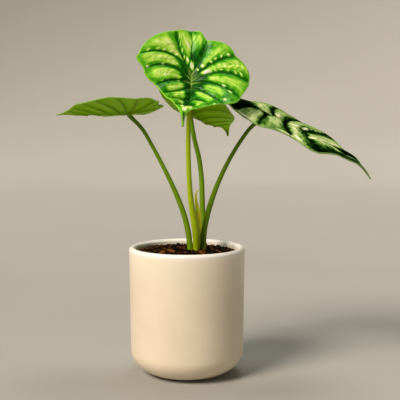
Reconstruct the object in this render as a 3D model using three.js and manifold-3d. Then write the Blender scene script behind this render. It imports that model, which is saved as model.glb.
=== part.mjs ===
// Potted dragon scale alocasia: a young plant with four quilted shield-shaped leaves on slender stems,
// a rolled new leaf and dark potting mix, in a plain ceramic pot with a rounded bottom.
// Millimetres, +Z up, the origin on the surface under the middle of the pot. The front is -Y.
import * as THREE from 'three';
import Module from 'manifold-3d';

// Pot
const POT_HEIGHT = 133;
const POT_TOP_RADIUS = 60;
const POT_SIDE_RADIUS = 58.7;
const POT_FOOT_RADIUS = 24.7;
const POT_CORNER_HEIGHT = 25;
const POT_WALL = 6.8;
const RIM_ROUND = 3.2;
const FLOOR_THICKNESS = 7;
const POT_SECTORS = 52;
const CORNER_STEPS = 6;
const INNER_CORNER_STEPS = 3;
const RIM_STEPS = 6;

// Soil
const SOIL_LEVEL = 127;
const SOIL_MOUND = 2.6;
const SOIL_RELIEF = 1.3;
const SOIL_RINGS = 9;
const SOIL_SECTORS = 36;
const CHIP_COUNT = 26;
const FIT_GAP = 0.3;

// Stems
const BURIED = 112;
const STEM_SIDES = 10;
const STEM_STEPS = 20;
const NEW_LEAF_STEPS = 18;

// Blades
const BLADE_THICKNESS = 0.9;
const RIB_HEIGHT = 1.1;
const MIDRIB_HEIGHT = 1.9;
const GROOVE_DEPTH = 0.35;
const PUFF_SHARE = 0.15;
const PUFF_MOST = 3.0;
const PUFF_CREST = 0.8;
const PUFF_AT_MARGIN = 0.15;
const UNDERSIDE_PUFF = 0.9;
const RIB_AT_MARGIN = 0.2;
const MIDRIB_AT_TIP = 0.2;
const JOINT_Y = -0.02;
const SEAT_GAP = 0.35;
const PANEL_ROWS = [6, 6, 5, 5, 4, 4, 3, 4];
const HALF_COLUMNS = 9;
const COLUMN_EASE = 0.9;

// Colours
const GLAZE = 0xe9dcc6;
const PEAT = 0x2c1c12;
const GREEN_UPPER = 0x3f8f1c;
const GREEN_UNDER = 0x5f7d16;
const GREEN_DARK = 0x1d4a1a;
const GREEN_STEM = 0x5c7f12;
const YELLOW_STEM = 0x93a01c;
const YELLOW_LEAF = 0xcfd030;

const clamp01 = (t) => Math.min(1, Math.max(0, t));
const smooth = (t) => clamp01(t) * clamp01(t) * (3 - 2 * clamp01(t));
const lerp = (a, b, t) => a + (b - a) * t;
const radians = (degrees) => degrees * Math.PI / 180;

// A small repeatable random series, for the soil
function seeded(seed) {
  let state = seed;
  return () => {
    state = (state * 1664525 + 1013904223) % 4294967296;
    return state / 4294967296;
  };
}

// Each leaf: where its stem joins, which way its tip heads, how it is pitched, rolled, bent and folded, in
// degrees, and its outline in widths of the blade. Nine veins run from the spine to the margin, the first at the
// notch and the last at the tip: spine gives where each starts, margin where it ends (0 at the base, 1 at the
// widest place, 2 at the tip), bow how far it is arched and reach how far out the margin lies there. Lobes swell
// the margin between veins.
const PANELS = 8;
const EVEN = [1, 1, 1, 1, 1, 1, 1, 1, 1];
const VEIN_SPINE = [-0.42, -0.04, -0.015, 0.015, 0.08, 0.2, 0.34, 0.49, 0.86];
const VEIN_MARGIN = [0, 0.1, 0.5, 0.84, 1.1, 1.3, 1.5, 1.68, 2];
const VEIN_BOW = [0, 0.02, 0.1, 0.16, 0.18, 0.17, 0.14, 0.1, 0];
const COMMON = {
  spine: VEIN_SPINE, marginLeft: VEIN_MARGIN, marginRight: VEIN_MARGIN, bowLeft: VEIN_BOW, bowRight: VEIN_BOW,
  bow: 1, reachLeft: EVEN, reachRight: EVEN, lobes: [0, 0, 0, 0, 0, 0, 0, 0], acumen: 0.74,
};
const LEAVES = {
  front: {
    ...COMMON, at: [4.6, -45, 302.7], head: -94.4, pitch: 64, roll: -4, width: 100.6,
    back: 12, front: -57, tipBend: 66, foldLeft: 13, foldRight: 35, sagLeft: 36, sagRight: 11.5,
    lobe: [0.02, -0.5], wideY: 0.078, tip: 0.87, notch: -0.505,
    spine: [-0.505, -0.053, -0.006, 0.016, 0.045, 0.095, 0.25, 0.45, 0.87],
    marginLeft: [0, 0.185, 0.622, 0.932, 1.1, 1.3, 1.445, 1.7, 2],
    marginRight: [0, 0.178, 0.748, 0.913, 1.172, 1.42, 1.56, 1.72, 2],
    bowLeft: [0, -0.159, 0.114, 0.27, 0.223, 0.12, 0.19, 0.15, 0],
    bowRight: [0, -0.152, 0.516, 0.431, 0.413, 0.25, 0.21, 0.15, 0],
    reachLeft: [1.06, 0.836, 0.997, 1.139, 0.985, 0.85, 0.84, 0.95, 0.7],
    reachRight: [1.06, 1.032, 1.166, 0.972, 0.785, 0.83, 0.93, 0.9, 0.7],
    lobes: [0.01, 0.044, 0.065, 0, 0, 0, 0, 0],
    acumen: 0.6, puff: 1.25, wave: 0.005, phase: 0.4,
  },
  left: {
    ...COMMON, at: [-62, 15, 271.3], head: 165.2, pitch: 5.6, roll: 1.4, width: 90,
    back: 15.6, front: -5.8, tipBend: 1, foldLeft: 18, foldRight: 0.7, sagLeft: -4.9, sagRight: 8.6,
    lobe: [0.1, -0.434], wideY: 0.079, tip: 0.872, notch: -0.39, bow: 0.7,
    reachLeft: [1, 0.97, 0.96, 1.01, 1.02, 0.99, 1.03, 1.02, 1],
    reachRight: [0.6, 0.93, 0.95, 0.97, 1.02, 1.01, 1, 1, 1],
    puff: 0.75, wave: 0.008, phase: 1.7,
  },
  right: {
    ...COMMON, at: [91, 0, 262.7], head: -9.6, pitch: 26.8, roll: -4.3, width: 126.5,
    back: -13.6, front: 2.2, tipBend: 17, foldLeft: 7.4, foldRight: 19.7, sagLeft: 3.7, sagRight: 48.4,
    lobe: [0.1, -0.452], wideY: 0.051, tip: 0.9, notch: -0.43,
    reachLeft: [1, 1, 0.96, 0.94, 1, 1.07, 1.1, 1.15, 1],
    reachRight: [1, 1, 1.02, 1, 0.88, 1.07, 1.07, 1.01, 1],
    puff: 1.15, wave: 0.01, phase: 2.9,
  },
  back: {
    ...COMMON, at: [4.2, 41.5, 274.5], head: 48.5, pitch: 38.7, roll: -1, width: 90.4,
    back: 6.4, front: -30, tipBend: 60, foldLeft: 18.8, foldRight: 21.7, sagLeft: 7.9, sagRight: 25.8,
    lobe: [0.1, -0.45], wideY: 0.04, tip: 0.806, notch: -0.42,
    reachLeft: [1, 1, 1, 1, 0.98, 0.96, 0.96, 0.97, 1],
    puff: 0.5, wave: 0, phase: 0,
  },
};

// Outline of one half blade: from the base lobe out to the widest place, then in to the drip tip
const WIDE = 0.5;
const LOBE_ROUND = 0.62;
const LOBE_RISE = 0.55;
const SHOULDER = 0.62;
const TIP_WIDTH = 0.01;
function marginPoint(leaf, m) {
  const [lobeX, lobeY] = leaf.lobe;
  const y = leaf.wideY;
  const base = new THREE.CubicBezierCurve(
    new THREE.Vector2(lobeX, lobeY),
    new THREE.Vector2(lerp(lobeX, WIDE, LOBE_ROUND), lobeY),
    new THREE.Vector2(WIDE, lerp(y, lobeY, LOBE_RISE)),
    new THREE.Vector2(WIDE, y),
  );
  const apex = new THREE.CubicBezierCurve(
    new THREE.Vector2(WIDE, y),
    new THREE.Vector2(WIDE, lerp(y, leaf.tip, SHOULDER)),
    new THREE.Vector2(TIP_WIDTH * 3, lerp(y, leaf.tip, leaf.acumen)),
    new THREE.Vector2(TIP_WIDTH, leaf.tip),
  );
  return m <= 1 ? base.getPoint(clamp01(m)) : apex.getPoint(clamp01(m - 1));
}

// The flat place of vein number u (0 to 8) at the share j of the way from the spine to the margin
function flatPoint(leaf, u, j) {
  const k = Math.min(PANELS - 1, Math.floor(u));
  const s = u - k;
  const between = (table) => lerp(table[k], table[k + 1], s);
  const reach = j < 0 ? leaf.reachLeft : leaf.reachRight;
  const start = k === 0 ? leaf.notch : leaf.spine[k];
  const y = lerp(start, k === PANELS - 1 ? leaf.tip : leaf.spine[k + 1], s);
  const bow = between(j < 0 ? leaf.bowLeft : leaf.bowRight) * leaf.bow;
  const scale = lerp(reach[k], reach[k + 1], smooth(s)) * (1 + leaf.lobes[k] * Math.sin(Math.PI * s));
  const edge = marginPoint(leaf, between(j < 0 ? leaf.marginLeft : leaf.marginRight));
  const dx = edge.x * scale;
  const dy = (edge.y - y) * scale;
  const a = Math.abs(j);
  const arch = bow * 2 * a * (1 - a);
  return new THREE.Vector2(Math.sign(j) * (dx * a + dy * arch), y + dy * a - dx * arch);
}

// The bent line of the spine: distance along and height, against the flat y
const SPINE_FROM = -0.6;
const SPINE_TO = 1.1;
const SPINE_STEPS = 170;
const BACK_SPAN = 0.45;
const FRONT_SPAN = 0.5;
const TIP_FROM = 0.62;
function spineTable(leaf) {
  const angle = (y) => radians(
    leaf.pitch + leaf.back * smooth(-y / BACK_SPAN) + leaf.front * smooth(y / FRONT_SPAN)
      + leaf.tipBend * smooth((y - TIP_FROM) / (leaf.tip - TIP_FROM)),
  );
  const step = (SPINE_TO - SPINE_FROM) / SPINE_STEPS;
  const rows = [{ along: 0, up: 0, angle: angle(SPINE_FROM) }];
  for (let i = 1; i <= SPINE_STEPS; i++) {
    const next = angle(SPINE_FROM + i * step);
    const middle = (rows[i - 1].angle + next) / 2;
    rows.push({
      along: rows[i - 1].along + Math.cos(middle) * step,
      up: rows[i - 1].up - Math.sin(middle) * step,
      angle: next,
    });
  }
  const read = (y) => {
    const at = clamp01((y - SPINE_FROM) / (SPINE_TO - SPINE_FROM)) * SPINE_STEPS;
    const i = Math.min(SPINE_STEPS - 1, Math.floor(at));
    const row = {};
    for (const key of ['along', 'up', 'angle']) row[key] = lerp(rows[i][key], rows[i + 1][key], at - i);
    return row;
  };
  const joint = read(0);
  return (y) => {
    const row = read(y);
    return { along: row.along - joint.along, up: row.up - joint.up, angle: row.angle };
  };
}

// Places a flat point, lifted by some millimetres off the blade's middle face, into the plant
function placer(leaf) {
  const spine = spineTable(leaf);
  const pitch = radians(leaf.pitch);
  const roll = radians(leaf.roll);
  const head = radians(leaf.head);
  const yAxis = new THREE.Vector3(
    Math.cos(head) * Math.cos(pitch), Math.sin(head) * Math.cos(pitch), -Math.sin(pitch),
  );
  const xAxis = new THREE.Vector3(Math.sin(head), -Math.cos(head), 0);
  const zAxis = xAxis.clone().cross(yAxis);
  return (x, y, lift) => {
    const row = spine(y);
    const side = x >= 0 ? 1 : -1;
    const a = Math.abs(x);
    const fold = radians(x >= 0 ? leaf.foldRight : leaf.foldLeft);
    const bend = radians(x >= 0 ? leaf.sagRight : leaf.sagLeft) / WIDE;
    const slope = fold - bend * a;
    const rise = lift / leaf.width;
    const out = (Math.sin(fold) - Math.sin(slope)) / bend - rise * Math.sin(slope);
    const up = (Math.cos(slope) - Math.cos(fold)) / bend + rise * Math.cos(slope);
    const along = row.along + up * Math.sin(row.angle);
    const high = row.up + up * Math.cos(row.angle);
    const yl = along * Math.cos(pitch) - high * Math.sin(pitch);
    const zl = along * Math.sin(pitch) + high * Math.cos(pitch);
    const xr = side * out * Math.cos(roll) - zl * Math.sin(roll);
    const zr = side * out * Math.sin(roll) + zl * Math.cos(roll);
    return new THREE.Vector3(...leaf.at)
      .addScaledVector(xAxis, xr * leaf.width)
      .addScaledVector(yAxis, yl * leaf.width)
      .addScaledVector(zAxis, zr * leaf.width);
  };
}

// Height of the puffed panels, the sunk veins and the wavy edge, in millimetres
const VEIN_HALF = 0.25;
const EDGE_PUFF_FALL = 5;
const SIDE_SHIFT = 2;
function relief(leaf, u, j) {
  const k = Math.min(PANELS - 1, Math.floor(u));
  const s = u - k;
  const a = Math.abs(j);
  const gap = flatPoint(leaf, k, j).distanceTo(flatPoint(leaf, k + 1, j)) * leaf.width;
  const most = PUFF_MOST * leaf.puff;
  const crest = Math.sin(Math.PI * s) ** PUFF_CREST;
  const puff = most * (1 - Math.exp(-PUFF_SHARE * gap / PUFF_MOST)) * crest;
  const rolling = Math.sin(Math.PI * u + leaf.phase + (j < 0 ? SIDE_SHIFT : 0));
  const wave = leaf.wave * leaf.width * a ** 3 * rolling * smooth(u) * smooth(PANELS - u);
  const toVein = Math.min(k === 0 ? 1 : s, k === PANELS - 1 ? 1 : 1 - s);
  const vein = Math.max(0, 1 - toVein / VEIN_HALF);
  return { puff: puff * (1 - (1 - PUFF_AT_MARGIN) * a ** EDGE_PUFF_FALL), wave, vein };
}
function surfaceLift(leaf, u, j) {
  const { puff, wave, vein } = relief(leaf, u, j);
  return puff + wave - GROOVE_DEPTH * vein;
}
function undersideLift(leaf, u, j) {
  const { puff, wave, vein } = relief(leaf, u, j);
  const a = Math.abs(j);
  const taper = lerp(1, MIDRIB_AT_TIP, smooth((u - 2) / (PANELS - 2)));
  const midrib = a < 0.01 && u >= 1 ? MIDRIB_HEIGHT * taper : 0;
  const rib = RIB_HEIGHT * vein * lerp(1, RIB_AT_MARGIN, a);
  return puff * UNDERSIDE_PUFF + wave - BLADE_THICKNESS - Math.max(midrib, rib);
}

// One blade: a grid bent twice, for the upper face and the underside, closed by a strip round the margin
function bladeGeometry(leaf) {
  const place = placer(leaf);
  const us = [];
  PANEL_ROWS.forEach((count, k) => {
    for (let i = 0; i < count; i++) us.push(k + i / count);
  });
  us.push(PANEL_ROWS.length);
  const rows = us.length - 1;
  const columns = HALF_COLUMNS * 2;
  const grid = new THREE.PlaneGeometry(2, 1, columns, rows);
  const count = grid.attributes.position.count;
  const points = new Float32Array(count * 6);
  for (let i = 0; i < count; i++) {
    const u = us[rows - Math.floor(i / (columns + 1))];
    const share = (i % (columns + 1)) / HALF_COLUMNS - 1;
    const j = Math.sign(share) * Math.abs(share) ** COLUMN_EASE;
    const flat = flatPoint(leaf, u, j);
    place(flat.x, flat.y, surfaceLift(leaf, u, j)).toArray(points, i * 3);
    place(flat.x, flat.y, undersideLift(leaf, u, j)).toArray(points, (count + i) * 3);
  }
  const index = [];
  const top = grid.index.array;
  for (let i = 0; i < top.length; i += 3) {
    index.push(top[i], top[i + 1], top[i + 2]);
    index.push(count + top[i], count + top[i + 2], count + top[i + 1]);
  }
  const loop = [];
  for (let c = 0; c < columns; c++) loop.push(rows * (columns + 1) + c);
  for (let r = rows; r > 0; r--) loop.push(r * (columns + 1) + columns);
  for (let c = columns; c > 0; c--) loop.push(c);
  for (let r = 0; r < rows; r++) loop.push(r * (columns + 1));
  loop.forEach((a, i) => {
    const b = loop[(i + 1) % loop.length];
    index.push(b, a, count + a);
    index.push(b, count + a, count + b);
  });
  const made = new THREE.BufferGeometry();
  made.setAttribute('position', new THREE.BufferAttribute(points, 3));
  made.setIndex(index);
  return made;
}

// Where a stem meets the underside of its blade, and the direction it arrives in
function jointOf(leaf) {
  const place = placer(leaf);
  const seat = -BLADE_THICKNESS - MIDRIB_HEIGHT - SEAT_GAP;
  const end = place(0, JOINT_Y, seat);
  const normal = place(0, JOINT_Y, seat + 1).sub(end).normalize();
  return { end, normal };
}

// Stems: the centre line from the buried end to the neck, and the radius at even steps along it
const STEMS = {
  front: {
    path: [[10, -2.9, BURIED], [9.9, -3.6, 129.6], [9.5, -7, 145.7], [6.6, -11, 165.9], [4, -15.2, 182.7],
      [2.4, -20, 203.5], [1.4, -26, 234], [1.8, -31.5, 261.9], [2.8, -34, 284], [3.3, -37, 296]],
    radii: [3.8, 3.8, 3.9, 3.3, 2.75, 2.5, 2.4, 2.35, 2.3, 2.3, 2.5],
  },
  left: {
    path: [[3.4, -0.8, BURIED], [3.3, -0.8, 129.1], [1.7, 1, 144.6], [-1.5, 2.7, 160.1], [-6.6, 4.5, 175.6],
      [-15.3, 6.8, 196.2], [-25.4, 9.1, 216.9], [-36.5, 11.5, 237.6], [-46.4, 13.2, 254.2]],
    radii: [3, 3, 3, 2.9, 2.7, 2.45, 2.2, 2.05, 2, 2, 2.3],
  },
  right: {
    path: [[17, 0.8, BURIED], [17, 0.9, 128.9], [17.4, 2.6, 144.7], [20, 2.6, 160.4], [25.7, 1.2, 181.2],
      [33.5, 0.4, 201.9], [43.5, 0, 222.6], [55.6, 0, 242.6], [66, 0, 256.2], [74, 0, 261.6]],
    radii: [3.1, 3.1, 3.1, 3, 2.8, 2.5, 2.3, 2.1, 2, 2, 2.3],
  },
  back: {
    path: [[16.8, 8.4, BURIED], [16.8, 8.8, 128.7], [16.8, 11, 145.3], [16.5, 14.5, 160.7], [16.1, 19, 181.4],
      [15.4, 24, 202.2], [12.8, 29, 223.2], [8, 33.5, 243.2], [5.4, 36.5, 258]],
    radii: [3, 3, 3, 2.95, 2.85, 2.7, 2.6, 2.5, 2.4, 2.3, 2.4],
  },
};
// The rolled new leaf: slim in the soil, swollen where it leaves the front stem, drawn out to a bent point
const NEW_LEAF = {
  path: [[11.2, 5, BURIED], [11.3, 4.6, 128.3], [11.4, 2.8, 143.5], [12.5, -3.3, 154.4], [12.2, -5.7, 165.2],
    [10.7, -7.6, 173.7], [9.3, -8.8, 182.1], [9.1, -9.3, 187.3], [10.1, -9.6, 190.9], [12.4, -9.7, 192.6]],
  radii: [2.1, 2.2, 2.4, 2.6, 2.85, 2.85, 2.6, 2.2, 1.8, 1.2, 0.5],
};

// A round rod bent along a curve, with radii at even steps along it. Its last ring can be cut slanting,
// so that it lies flat under a blade that faces along the normal.
function rodGeometry({ points, radii, grow, steps, normal }) {
  const curve = new THREE.CatmullRomCurve3(points, false, 'centripetal');
  const rod = new THREE.CylinderGeometry(1, 1, 1, STEM_SIDES, steps);
  const frames = curve.computeFrenetFrames(steps, false);
  const position = rod.attributes.position;
  for (let i = 0; i < position.count; i++) {
    const share = position.getY(i) + 0.5;
    const row = Math.round(share * steps);
    const at = clamp01(share) * (radii.length - 1);
    const k = Math.min(radii.length - 2, Math.floor(at));
    const radius = grow + lerp(radii[k], radii[k + 1], at - k);
    const spoke = frames.binormals[row].clone().multiplyScalar(position.getX(i) * radius);
    spoke.addScaledVector(frames.normals[row], position.getZ(i) * radius);
    const tangent = frames.tangents[row];
    if (normal && row === steps) spoke.addScaledVector(tangent, -spoke.dot(normal) / tangent.dot(normal));
    spoke.add(curve.getPointAt(share));
    position.setXYZ(i, spoke.x, spoke.y, spoke.z);
  }
  return rod;
}
const vectors = (path) => path.map((p) => new THREE.Vector3(...p));
function stemGeometry(name, grow = 0) {
  const { end, normal } = jointOf(LEAVES[name]);
  const { path, radii } = STEMS[name];
  return rodGeometry({ points: [...vectors(path), end], radii, grow, steps: STEM_STEPS, normal });
}
function newLeafGeometry(grow = 0) {
  return rodGeometry({ points: vectors(NEW_LEAF.path), radii: NEW_LEAF.radii, grow, steps: NEW_LEAF_STEPS });
}

// Pot: the outer side, the rounded rim and the inner side, turned about the axis
const INNER_RADIUS = POT_TOP_RADIUS - POT_WALL;
const FLOOR_CORNER = INNER_RADIUS * 0.55;
function potProfile() {
  const profile = [new THREE.Vector2(0, 0), new THREE.Vector2(POT_FOOT_RADIUS, 0)];
  for (let i = 1; i <= CORNER_STEPS; i++) {
    const t = (i / CORNER_STEPS) * Math.PI / 2;
    profile.push(new THREE.Vector2(
      POT_FOOT_RADIUS + (POT_SIDE_RADIUS - POT_FOOT_RADIUS) * Math.sin(t),
      POT_CORNER_HEIGHT * (1 - Math.cos(t)),
    ));
  }
  const rimMiddle = POT_TOP_RADIUS - POT_WALL / 2;
  for (let i = 0; i <= RIM_STEPS; i++) {
    const t = (i / RIM_STEPS) * Math.PI;
    profile.push(new THREE.Vector2(
      rimMiddle + (POT_WALL / 2) * Math.cos(t),
      POT_HEIGHT - RIM_ROUND + RIM_ROUND * Math.sin(t),
    ));
  }
  for (let i = 0; i <= INNER_CORNER_STEPS; i++) {
    const t = (i / INNER_CORNER_STEPS) * Math.PI / 2;
    profile.push(new THREE.Vector2(
      FLOOR_CORNER + (INNER_RADIUS - FLOOR_CORNER) * Math.cos(t),
      FLOOR_THICKNESS + POT_CORNER_HEIGHT * (1 - Math.sin(t)),
    ));
  }
  profile.push(new THREE.Vector2(0, FLOOR_THICKNESS));
  return profile;
}
function turned(profile, sectors) {
  return new THREE.LatheGeometry(profile, sectors).rotateX(Math.PI / 2);
}

// Soil: fills the pot, with a low mound, crumbly relief, bark chips and the holes of the stems
const CLUMP = [11, 2];
const CHIP_CLEAR = 17;
const CHIP_INSET = 7;
const CHIP_LEAST = [3, 2, 1.8];
const CHIP_SPREAD = [3.5, 2, 1];
const CHIP_SEED = 71;
const CHIP_RISE = 0.3;
function soilHeight(x, y) {
  const r = Math.hypot(x, y) / INNER_RADIUS;
  const crumb = Math.sin(x * 0.61 + y * 0.23) * Math.cos(y * 0.57 - x * 0.19)
    + 0.6 * Math.sin(x * 1.17 - y * 0.71 + 1.3) * Math.sin(y * 1.31 + 0.4);
  return SOIL_LEVEL + SOIL_MOUND * (1 - r * r) + SOIL_RELIEF * crumb * (1 - 0.6 * r ** 6);
}
function soilGeometry() {
  const edge = INNER_RADIUS - FIT_GAP;
  const profile = [new THREE.Vector2(0, FLOOR_THICKNESS + FIT_GAP)];
  for (let i = INNER_CORNER_STEPS; i >= 0; i--) {
    const t = (i / INNER_CORNER_STEPS) * Math.PI / 2;
    profile.push(new THREE.Vector2(
      FLOOR_CORNER + (INNER_RADIUS - FLOOR_CORNER) * Math.cos(t) - FIT_GAP,
      FLOOR_THICKNESS + FIT_GAP + POT_CORNER_HEIGHT * (1 - Math.sin(t)),
    ));
  }
  for (let i = SOIL_RINGS; i > 0; i--) profile.push(new THREE.Vector2(edge * i / SOIL_RINGS, SOIL_LEVEL));
  profile.push(new THREE.Vector2(0, SOIL_LEVEL));
  const body = turned(profile, SOIL_SECTORS);
  const position = body.attributes.position;
  for (let i = 0; i < position.count; i++) {
    if (position.getZ(i) < SOIL_LEVEL - 1) continue;
    position.setZ(i, soilHeight(position.getX(i), position.getY(i)));
  }
  return body;
}
function chipGeometries() {
  const random = seeded(CHIP_SEED);
  const chips = [];
  while (chips.length < CHIP_COUNT) {
    const angle = random() * Math.PI * 2;
    const r = (INNER_RADIUS - CHIP_INSET) * Math.sqrt(random());
    const size = CHIP_LEAST.map((least, i) => least + CHIP_SPREAD[i] * random());
    const turn = new THREE.Euler(0.5 * (random() - 0.5), 0.5 * (random() - 0.5), random() * Math.PI);
    const x = r * Math.cos(angle);
    const y = r * Math.sin(angle);
    if (Math.hypot(x - CLUMP[0], y - CLUMP[1]) < CHIP_CLEAR) continue;
    const chip = new THREE.BoxGeometry(...size);
    chip.applyMatrix4(new THREE.Matrix4().makeRotationFromEuler(turn));
    chip.translate(x, y, soilHeight(x, y) + CHIP_RISE);
    chips.push(chip);
  }
  return chips;
}

// Solids for joining and cutting
const wasm = await Module();
wasm.setup();
function solidOf(geometry) {
  const at = geometry.attributes.position;
  const listed = geometry.index && Array.from(geometry.index.array);
  const corners = listed || Array.from({ length: at.count }, (_, i) => i);
  const seen = new Map();
  const points = [];
  const merged = corners.map((i) => {
    const p = [at.getX(i), at.getY(i), at.getZ(i)];
    const key = p.map((c) => Math.round(c * 1000)).join();
    if (!seen.has(key)) {
      seen.set(key, points.length / 3);
      points.push(...p);
    }
    return seen.get(key);
  });
  const triangles = [];
  for (let i = 0; i < merged.length; i += 3) {
    const [a, b, c] = merged.slice(i, i + 3);
    if (a !== b && b !== c && c !== a) triangles.push(a, b, c);
  }
  return new wasm.Manifold(new wasm.Mesh({
    numProp: 3, vertProperties: new Float32Array(points), triVerts: new Uint32Array(triangles),
  }));
}
function geometryOf(solid) {
  const mesh = solid.getMesh();
  const made = new THREE.BufferGeometry();
  made.setAttribute('position', new THREE.BufferAttribute(new Float32Array(mesh.vertProperties), 3));
  made.setIndex(new THREE.BufferAttribute(new Uint32Array(mesh.triVerts), 1));
  return made;
}

const plant = new THREE.Group();
plant.name = 'potted_alocasia';
function addNode(name, geometry, color, roughness) {
  const material = new THREE.MeshStandardMaterial({ color, roughness, metalness: 0 });
  const mesh = new THREE.Mesh(geometry, material);
  geometry.computeVertexNormals();
  mesh.name = name;
  plant.add(mesh);
}

addNode('pot', turned(potProfile(), POT_SECTORS), GLAZE, 0.45);

let soil = solidOf(soilGeometry());
for (const chip of chipGeometries()) soil = soil.add(solidOf(chip));
for (const name of Object.keys(STEMS)) soil = soil.subtract(solidOf(stemGeometry(name, FIT_GAP)));
soil = soil.subtract(solidOf(newLeafGeometry(FIT_GAP)));
addNode('soil', geometryOf(soil), PEAT, 0.95);

const BLADE_COLOURS = { front: GREEN_UPPER, left: GREEN_UNDER, right: GREEN_DARK, back: GREEN_UNDER };
for (const name of Object.keys(LEAVES)) {
  addNode('blade_' + name, bladeGeometry(LEAVES[name]), BLADE_COLOURS[name], 0.4);
  addNode('petiole_' + name, stemGeometry(name), name === 'front' ? YELLOW_STEM : GREEN_STEM, 0.5);
}
addNode('new_leaf', newLeafGeometry(), YELLOW_LEAF, 0.5);

export default plant;
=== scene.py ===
import math
import random
from types import SimpleNamespace

import bmesh
import bpy
import numpy as np
from mathutils import Matrix, Vector, noise


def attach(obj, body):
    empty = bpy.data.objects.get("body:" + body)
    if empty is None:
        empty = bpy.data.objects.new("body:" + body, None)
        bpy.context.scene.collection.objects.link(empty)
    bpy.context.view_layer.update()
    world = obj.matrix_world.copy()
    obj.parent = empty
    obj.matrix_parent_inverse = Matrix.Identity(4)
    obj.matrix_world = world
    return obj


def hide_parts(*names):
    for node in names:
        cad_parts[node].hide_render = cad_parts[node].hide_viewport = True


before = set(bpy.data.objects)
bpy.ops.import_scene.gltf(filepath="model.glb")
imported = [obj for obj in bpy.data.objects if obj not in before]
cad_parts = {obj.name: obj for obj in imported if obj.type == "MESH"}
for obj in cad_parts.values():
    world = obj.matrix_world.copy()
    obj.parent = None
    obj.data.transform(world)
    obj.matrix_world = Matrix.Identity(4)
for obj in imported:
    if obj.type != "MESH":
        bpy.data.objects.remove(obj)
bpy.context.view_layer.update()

# The stage: a pale matt studio sweep that turns up into a low wall all round, a warm window-like light
# from the front left, a faint hard one for glints, a soft one from above, and a camera level with the
# leaves, 0.9 m in front of the pot and tilted a little down.
MM = 0.001


def linear(hex_colour):
    """An sRGB hex colour as the linear colour that a shader takes."""
    parts = [int(hex_colour[i : i + 2], 16) / 255 for i in (1, 3, 5)]
    curve = [c / 12.92 if c <= 0.04045 else ((c + 0.055) / 1.055) ** 2.4 for c in parts]
    return (*curve, 1.0)


def node(tree, kind, inputs=None, stops=None, **settings):
    """Adds one shader node, with its settings, what its sockets take or are linked from, and the places
    and hex colours of a colour ramp."""
    made = tree.nodes.new(kind)
    for key, value in settings.items():
        setattr(made, key, value)
    for key, value in (inputs or {}).items():
        if isinstance(value, bpy.types.NodeSocket):
            tree.links.new(value, made.inputs[key])
        else:
            made.inputs[key].default_value = value
    if stops:
        elements = made.color_ramp.elements
        for i in (0, -1):
            elements[i].position, elements[i].color = stops[i][0], linear(stops[i][1])
        for where, colour in stops[1:-1]:
            elements.new(where).color = linear(colour)
    return made


def scale_of(size):
    """A noise pattern's scale from the size of its patches in millimetres."""
    return 1 / (size * MM)


def blank_material(name):
    """A new material with its shader and output."""
    material = bpy.data.materials.new(name)
    material.use_nodes = True
    tree = material.node_tree
    shader = tree.nodes["Principled BSDF"]
    return material, tree, shader


def into_object(bm, name, *materials, rounded=True):
    """Turns a finished bmesh into an object that sits at the origin."""
    mesh = bpy.data.meshes.new(name)
    bm.to_mesh(mesh)
    bm.free()
    for polygon in mesh.polygons:
        polygon.use_smooth = rounded
    for material in materials:
        mesh.materials.append(material)
    piece = bpy.data.objects.new(name, mesh)
    bpy.context.scene.collection.objects.link(piece)
    return piece


SENSOR_WIDTH = 36
LENS = 78.75
CAMERA_AWAY = 900
CAMERA_HEIGHT = 270.8
TILT_DOWN = 0.0992
TURN_RIGHT = 0.015
camera_data = bpy.data.cameras.new("camera")
camera_data.sensor_width = SENSOR_WIDTH
camera_data.lens = LENS
camera = bpy.data.objects.new("camera", camera_data)
camera.location = (0, -CAMERA_AWAY * MM, CAMERA_HEIGHT * MM)
camera.rotation_euler = (math.pi / 2 - TILT_DOWN, 0, -TURN_RIGHT)
bpy.context.scene.collection.objects.link(camera)
bpy.context.scene.camera = camera
bpy.context.scene.view_settings.view_transform = "Standard"


def arc_points(centre, radii, start, end, steps):
    """Points of an ellipse's arc in the profile plane, angles in degrees from straight out."""
    turns = [math.radians(start + (end - start) * i / steps) for i in range(steps + 1)]
    return [(centre[0] + radii[0] * math.cos(t), centre[1] + radii[1] * math.sin(t)) for t in turns]


def turned(profile, steps):
    """A round body, or a bowl where the profile ends off the axis, spun from a profile in mm."""
    bm = bmesh.new()
    points = [bm.verts.new((r * MM, 0, z * MM)) for r, z in profile]
    edges = [bm.edges.new(pair) for pair in zip(points, points[1:])]
    bmesh.ops.spin(
        bm, geom=points + edges, cent=(0, 0, 0), axis=(0, 0, 1), angle=2 * math.pi,
        steps=steps, use_merge=True,
    )
    bmesh.ops.remove_doubles(bm, verts=bm.verts, dist=1e-6)
    bmesh.ops.recalc_face_normals(bm, faces=bm.faces)
    return bm


# Matt painted board: a warm grey-white with a very faint cloudiness and no shine.
BOARD_CLOUDS = 1000 / 3
board, tree, shader = blank_material("sweep_matt_painted_board")
place = node(tree, "ShaderNodeTexCoord").outputs["Object"]
cloud = node(tree, "ShaderNodeTexNoise", {"Vector": place, "Scale": scale_of(BOARD_CLOUDS)})
tint = node(
    tree, "ShaderNodeValToRGB", {"Fac": cloud.outputs["Fac"]}, [(0.0, "#a9a8a3"), (1.0, "#afaea9")],
)
tree.links.new(tint.outputs["Color"], shader.inputs["Base Color"])
shader.inputs["Roughness"].default_value = 0.8
shader.inputs["Specular IOR Level"].default_value = 0.2
SWEEP_RADIUS = 3200
SWEEP_BEND = 900
SWEEP_HEIGHT = 1500
SWEEP_SECTORS = 96
CORNER_STEPS = 24
sweep_profile = [(0, 0)]
sweep_profile += arc_points(
    (SWEEP_RADIUS - SWEEP_BEND, SWEEP_BEND), (SWEEP_BEND, SWEEP_BEND), -90, 0, CORNER_STEPS,
)
sweep_profile.append((SWEEP_RADIUS, SWEEP_HEIGHT))
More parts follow.
